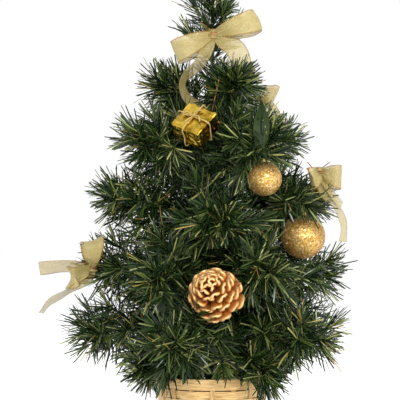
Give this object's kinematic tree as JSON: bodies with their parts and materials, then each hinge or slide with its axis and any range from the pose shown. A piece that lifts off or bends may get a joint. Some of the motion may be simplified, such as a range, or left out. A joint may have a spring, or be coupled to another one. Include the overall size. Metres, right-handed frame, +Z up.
{
  "type": "artificial tabletop tree",
  "caption": "Small artificial fir tree in a woven basket, with bendable wire branches, bows, balls, a gilded cone and a foil gift box.",
  "frame": {"origin": "centre of the basket's foot, on the surface it stands on", "axes": "+Z up along the trunk, -Y towards the decorated front, +X to its right"},
  "size_m": [0.2807, 0.2415, 0.45],
  "materials": {
    "needles": "glossy PVC strip needles, dark to yellow green",
    "organza": "sheer gold organza, shiny",
    "glitter": "ochre gold glitter",
    "gold_metal": "thin gold cap",
    "tie_wire": "copper coloured twist wire",
    "cone_gold": "gold sprayed scales",
    "foil": "creased gold foil over card",
    "gold_cord": "twisted gold cord",
    "leaf": "satin green PVC",
    "bamboo": "satin split bamboo",
    "liner": "dull brown",
    "plaster": "cast, matt",
    "pole_wood": "round stick",
    "trunk_tape": "crepe tape",
    "branch_wire": "green coated twisted wire"
  },
  "bodies": {
    "stand": {"basket_floor": "bamboo", "basket_stakes": "bamboo", "basket_weavers": "bamboo", "basket_foot_hoop": "bamboo", "basket_rim_outer": "bamboo", "basket_rim_inner": "bamboo", "pot_liner": "liner", "plaster_weight": "plaster", "trunk_pole": "pole_wood", "trunk_tape": "trunk_tape", "branch_root_ends": "branch_wire", "branch_bindings": "branch_wire"},
    "branch_1_1": {"branch_1_1": "needles"},
    "branch_1_2": {"branch_1_2": "needles"},
    "branch_1_3": {"branch_1_3": "needles"},
    "branch_1_4": {"branch_1_4": "needles"},
    "branch_2_1": {"branch_2_1": "needles"},
    "branch_2_2": {"branch_2_2": "needles"},
    "branch_2_3": {"branch_2_3": "needles"},
    "branch_2_4": {"branch_2_4": "needles"},
    "branch_2_5": {"branch_2_5": "needles"},
    "branch_3_1": {"branch_3_1": "needles"},
    "branch_3_2": {"branch_3_2": "needles"},
    "branch_3_3": {"branch_3_3": "needles"},
    "branch_3_4": {"branch_3_4": "needles", "bow_left": "organza", "bow_left_tie": "tie_wire"},
    "branch_3_5": {"branch_3_5": "needles"},
    "branch_3_6": {"branch_3_6": "needles", "cone_core": "cone_gold", "cone_scales": "cone_gold", "cone_wire": "tie_wire"},
    "branch_4_1": {"branch_4_1": "needles", "bow_right": "organza", "bow_right_tie": "tie_wire", "ball_lower_hanger": "tie_wire"},
    "branch_4_2": {"branch_4_2": "needles"},
    "branch_4_3": {"branch_4_3": "needles"},
    "branch_4_4": {"branch_4_4": "needles"},
    "branch_5_1": {"branch_5_1": "needles"},
    "branch_5_2": {"branch_5_2": "needles"},
    "branch_5_3": {"branch_5_3": "needles"},
    "branch_5_4": {"branch_5_4": "needles", "ball_upper_hanger": "tie_wire", "leaf_pick": "leaf"},
    "branch_6_1": {"branch_6_1": "needles", "bow_back": "organza", "bow_back_tie": "tie_wire"},
    "branch_6_2": {"branch_6_2": "needles"},
    "branch_6_3": {"branch_6_3": "needles", "gift_box": "foil", "gift_cord": "gold_cord", "gift_wire": "tie_wire"},
    "leader": {"leader": "needles", "bow_top": "organza", "bow_top_tie": "tie_wire"},
    "ball_upper": {"ball_upper": "glitter", "ball_upper_cap": "gold_metal"},
    "ball_lower": {"ball_lower": "glitter", "ball_lower_cap": "gold_metal"}
  },
  "joints": [
    {"name": "bend_1_1", "type": "hinge", "parent": "stand", "child": "branch_1_1", "pos_m": [0.00816, 0.00571, 0.11661], "axis": [0.5736, -0.8192, 0], "range_deg": [-7, 11]},
    {"name": "bend_1_2", "type": "hinge", "parent": "stand", "child": "branch_1_2", "pos_m": [-0.00571, 0.00816, 0.11661], "axis": [0.8192, 0.5736, 0], "range_deg": [-7, 14]},
    {"name": "bend_1_3", "type": "hinge", "parent": "stand", "child": "branch_1_3", "pos_m": [-0.00816, -0.00571, 0.11661], "axis": [-0.5736, 0.8192, 0], "range_deg": [-7, 15]},
    {"name": "bend_1_4", "type": "hinge", "parent": "stand", "child": "branch_1_4", "pos_m": [0.00571, -0.00816, 0.11661], "axis": [-0.8192, -0.5736, 0], "range_deg": [-7, 14]},
    {"name": "bend_2_1", "type": "hinge", "parent": "stand", "child": "branch_2_1", "pos_m": [-0.01011, 0, 0.14314], "axis": [0, 1, 0], "range_deg": [-12, 15]},
    {"name": "bend_2_2", "type": "hinge", "parent": "stand", "child": "branch_2_2", "pos_m": [-0.00311, -0.00957, 0.14295], "axis": [-0.9511, 0.309, 0], "range_deg": [-12, 2]},
    {"name": "bend_2_3", "type": "hinge", "parent": "stand", "child": "branch_2_3", "pos_m": [0.00818, -0.00594, 0.14314], "axis": [-0.5878, -0.809, 0], "range_deg": [-12, 15]},
    {"name": "bend_2_4", "type": "hinge", "parent": "stand", "child": "branch_2_4", "pos_m": [0.00814, 0.00592, 0.14295], "axis": [0.5878, -0.809, 0], "range_deg": [-9, 15]},
    {"name": "bend_2_5", "type": "hinge", "parent": "stand", "child": "branch_2_5", "pos_m": [-0.00313, 0.00962, 0.14314], "axis": [0.9511, 0.309, 0], "range_deg": [-12, 15]},
    {"name": "bend_3_1", "type": "hinge", "parent": "stand", "child": "branch_3_1", "pos_m": [0.01012, 0, 0.19021], "axis": [0, -1, 0], "range_deg": [-12, 4]},
    {"name": "bend_3_2", "type": "hinge", "parent": "stand", "child": "branch_3_2", "pos_m": [0.00509, 0.00881, 0.1905], "axis": [0.866, -0.5, 0], "range_deg": [-12, 15]},
    {"name": "bend_3_3", "type": "hinge", "parent": "stand", "child": "branch_3_3", "pos_m": [-0.00506, 0.00877, 0.19021], "axis": [0.866, 0.5, 0], "range_deg": [-12, 15]},
    {"name": "bend_3_4", "type": "hinge", "parent": "stand", "child": "branch_3_4", "pos_m": [-0.01017, 0, 0.1905], "axis": [0, 1, 0], "range_deg": [-12, 15]},
    {"name": "bend_3_5", "type": "hinge", "parent": "stand", "child": "branch_3_5", "pos_m": [-0.00506, -0.00877, 0.19021], "axis": [-0.866, 0.5, 0], "range_deg": [-12, 15]},
    {"name": "bend_3_6", "type": "hinge", "parent": "stand", "child": "branch_3_6", "pos_m": [0.00509, -0.00881, 0.1905], "axis": [-0.866, -0.5, 0], "range_deg": [-1, 15]},
    {"name": "bend_4_1", "type": "hinge", "parent": "stand", "child": "branch_4_1", "pos_m": [0.01015, 0.00089, 0.23826], "axis": [0.0872, -0.9962, 0], "range_deg": [-5, 15]},
    {"name": "bend_4_2", "type": "hinge", "parent": "stand", "child": "branch_4_2", "pos_m": [-0.00088, 0.01009, 0.23723], "axis": [0.9962, 0.0872, 0], "range_deg": [-12, 15]},
    {"name": "bend_4_3", "type": "hinge", "parent": "stand", "child": "branch_4_3", "pos_m": [-0.01015, -0.00089, 0.23826], "axis": [-0.0872, 0.9962, 0], "range_deg": [-12, 15]},
    {"name": "bend_4_4", "type": "hinge", "parent": "stand", "child": "branch_4_4", "pos_m": [0.00088, -0.01009, 0.23723], "axis": [-0.9962, -0.0872, 0], "range_deg": [-12, 12]},
    {"name": "bend_5_1", "type": "hinge", "parent": "stand", "child": "branch_5_1", "pos_m": [0.00833, 0.00583, 0.28648], "axis": [0.5736, -0.8192, 0], "range_deg": [-12, 13]},
    {"name": "bend_5_2", "type": "hinge", "parent": "stand", "child": "branch_5_2", "pos_m": [-0.00583, 0.00833, 0.28648], "axis": [0.8192, 0.5736, 0], "range_deg": [-12, 15]},
    {"name": "bend_5_3", "type": "hinge", "parent": "stand", "child": "branch_5_3", "pos_m": [-0.00833, -0.00583, 0.28648], "axis": [-0.5736, 0.8192, 0], "range_deg": [-12, 7]},
    {"name": "bend_5_4", "type": "hinge", "parent": "stand", "child": "branch_5_4", "pos_m": [0.00583, -0.00833, 0.28648], "axis": [-0.8192, -0.5736, 0], "range_deg": [-10, 15]},
    {"name": "bend_6_1", "type": "hinge", "parent": "stand", "child": "branch_6_1", "pos_m": [0.00566, 0.00808, 0.32964], "axis": [0.8192, -0.5736, 0], "range_deg": [-12, 15]},
    {"name": "bend_6_2", "type": "hinge", "parent": "stand", "child": "branch_6_2", "pos_m": [-0.00983, 0.00086, 0.32964], "axis": [0.0872, 0.9962, 0], "range_deg": [-12, 15]},
    {"name": "bend_6_3", "type": "hinge", "parent": "stand", "child": "branch_6_3", "pos_m": [0.00417, -0.00894, 0.32964], "axis": [-0.9063, -0.4226, 0], "range_deg": [-10, 4]},
    {"name": "bend_leader", "type": "hinge", "parent": "stand", "child": "leader", "pos_m": [0, 0, 0.34495], "axis": [0, 1, 0], "range_deg": [-4, 4]},
    {"name": "swing_ball_upper", "type": "hinge", "parent": "branch_5_4", "child": "ball_upper", "pos_m": [0.045, -0.065, 0.2805], "axis": [0.5736, -0.8192, 0], "range_deg": [-15, 15]},
    {"name": "swing_ball_lower", "type": "hinge", "parent": "branch_4_1", "child": "ball_lower", "pos_m": [0.08, -0.0305, 0.235], "axis": [0.7986, -0.6018, 0], "range_deg": [-15, 10]}
  ]
}
